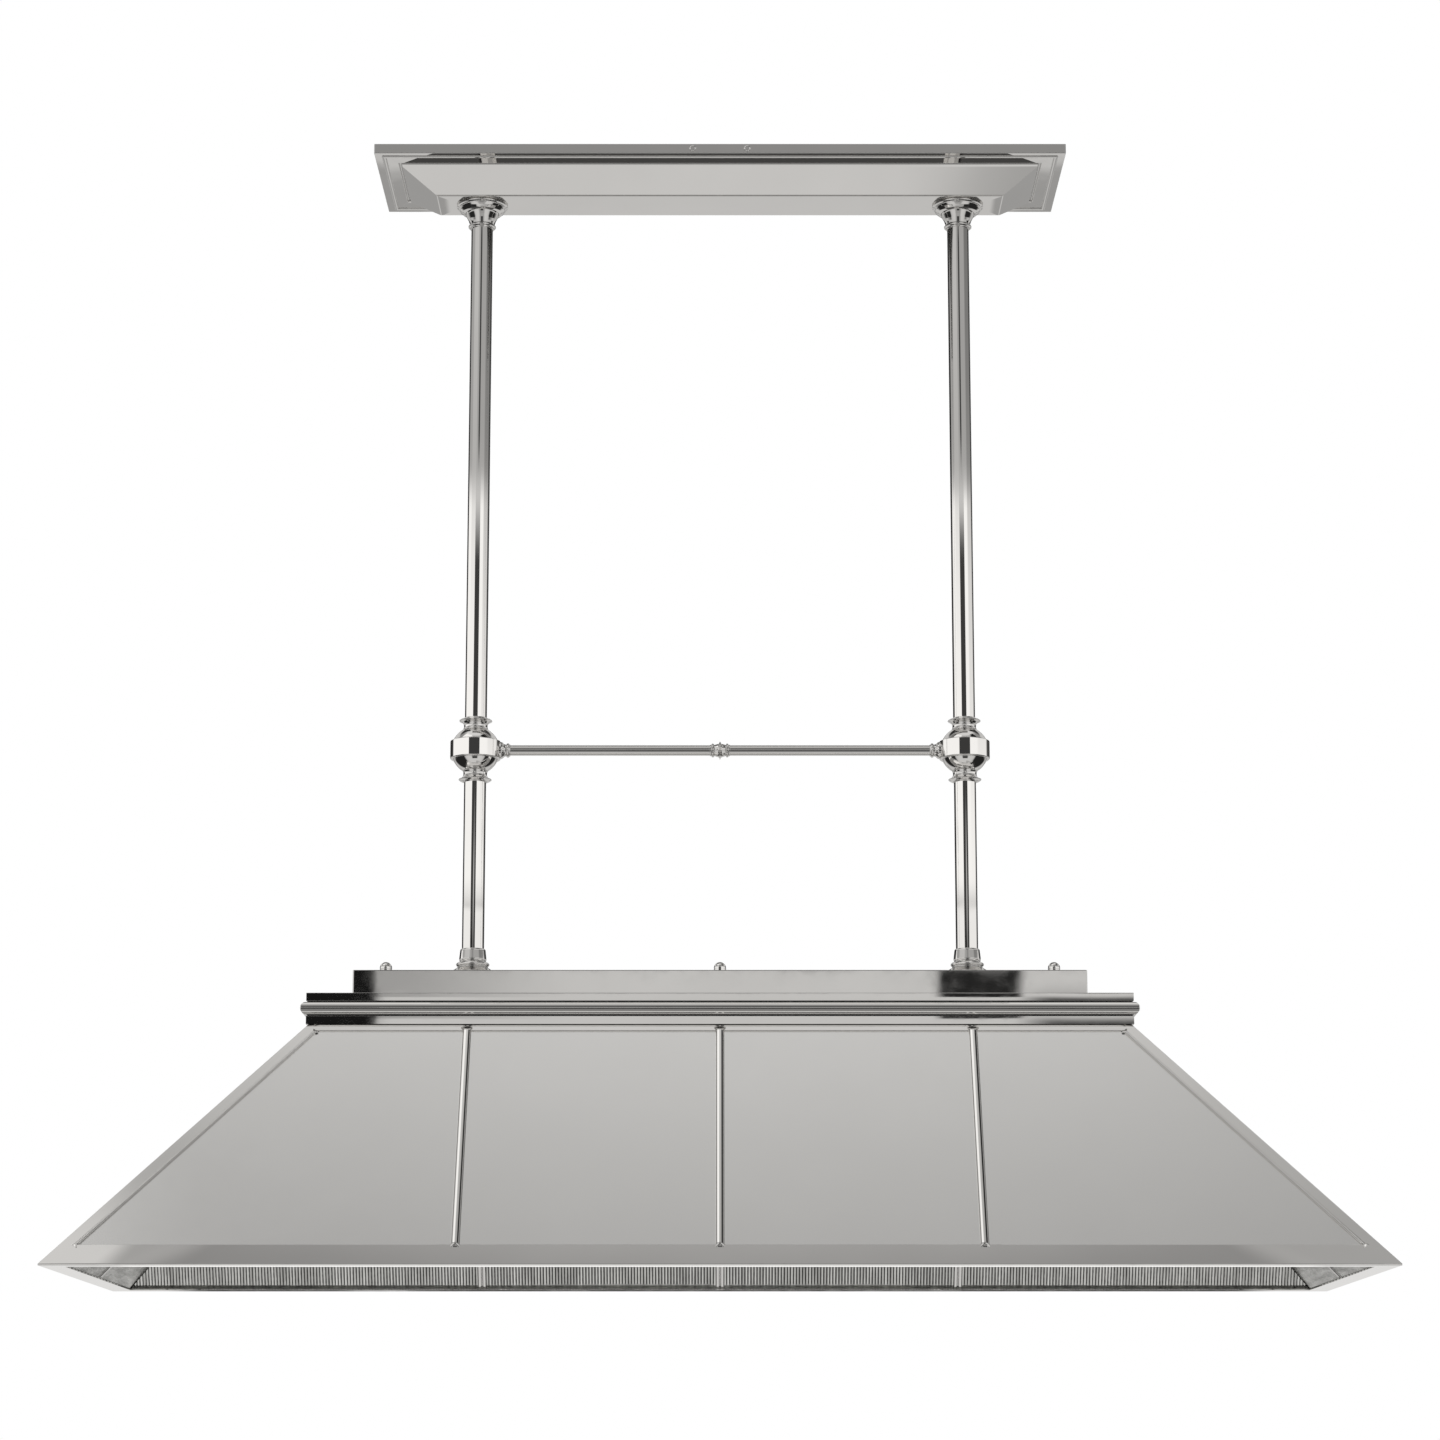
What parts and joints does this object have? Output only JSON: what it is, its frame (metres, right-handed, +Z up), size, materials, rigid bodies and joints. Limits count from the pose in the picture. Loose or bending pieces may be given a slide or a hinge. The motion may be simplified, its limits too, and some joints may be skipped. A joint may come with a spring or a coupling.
{
  "type": "linear pendant light",
  "caption": "Linear ceiling pendant: tubular stems from a rectangular canopy, a crossbar between ball hubs, and a long hood-shaped metal shade lined with ribbed mirror glass.",
  "frame": {"origin": "on the ceiling plane, midway between the junction box screw holes", "axes": "+Z up into the ceiling, +X along the shade, -Y towards the front face"},
  "size_m": [1.524, 0.508, 1.3803],
  "materials": {
    "polished_nickel": "polished nickel plate, bright",
    "panel_nickel": "polished nickel sheet, slightly soft",
    "mirror_glass": "silvered glass, vertically ribbed",
    "zinc_steel": "zinc plated, dull",
    "green_screw": "green passivated",
    "block_plastic": "moulded, matt",
    "wire_insulation": "extruded, matt",
    "white_enamel": "gloss enamel",
    "porcelain": "glazed",
    "lamp_glass": "frosted inside"
  },
  "bodies": {
    "ceiling_mount": {"ceiling_bracket": "zinc_steel", "canopy_pan": "polished_nickel", "canopy_screws": "polished_nickel", "ground_screw": "green_screw", "terminal_block": "block_plastic", "canopy_leads": "wire_insulation", "swivel_cup_left": "polished_nickel", "swivel_cup_right": "polished_nickel", "swivel_nuts": "zinc_steel"},
    "pendant": {"back_panel": "panel_nickel", "back_ribs": "polished_nickel", "bar_knuckle": "polished_nickel", "bar_socket_left": "polished_nickel", "bar_socket_right": "polished_nickel", "base_collar_left": "polished_nickel", "base_collar_right": "polished_nickel", "cornice_band": "polished_nickel", "cornice_bead": "polished_nickel", "crossbar_left": "polished_nickel", "crossbar_right": "polished_nickel", "dome_nuts": "polished_nickel", "front_panel": "panel_nickel", "front_ribs": "polished_nickel", "glazing_bars": "polished_nickel", "head_rail": "polished_nickel", "hip_rail_back_left": "polished_nickel", "hip_rail_back_right": "polished_nickel", "hip_rail_front_left": "polished_nickel", "hip_rail_front_right": "polished_nickel", "hub_ball_left": "polished_nickel", "hub_ball_right": "polished_nickel", "lamp_tray": "white_enamel", "lampholders": "porcelain", "lamps": "lamp_glass", "left_panel": "panel_nickel", "lower_coupling_left": "polished_nickel", "lower_coupling_right": "polished_nickel", "lower_stem_left": "polished_nickel", "lower_stem_right": "polished_nickel", "plinth": "polished_nickel", "ribbed_glass_back": "mirror_glass", "ribbed_glass_front": "mirror_glass", "ribbed_glass_left": "mirror_glass", "ribbed_glass_right": "mirror_glass", "right_panel": "panel_nickel", "rim_rail_back": "polished_nickel", "rim_rail_front": "polished_nickel", "rim_rail_left": "polished_nickel", "rim_rail_right": "polished_nickel", "stem_nuts": "zinc_steel", "supply_cable": "wire_insulation", "swivel_ball_left": "polished_nickel", "swivel_ball_right": "polished_nickel", "tie_rods": "zinc_steel", "tray_nuts": "zinc_steel", "upper_coupling_left": "polished_nickel", "upper_coupling_right": "polished_nickel", "upper_stem_left": "polished_nickel", "upper_stem_right": "polished_nickel"}
  },
  "joints": [
    {"name": "swing", "type": "hinge", "parent": "ceiling_mount", "child": "pendant", "pos_m": [0, 0, -0.0485], "axis": [1, 0, 0], "range_deg": [-12, 12]}
  ]
}
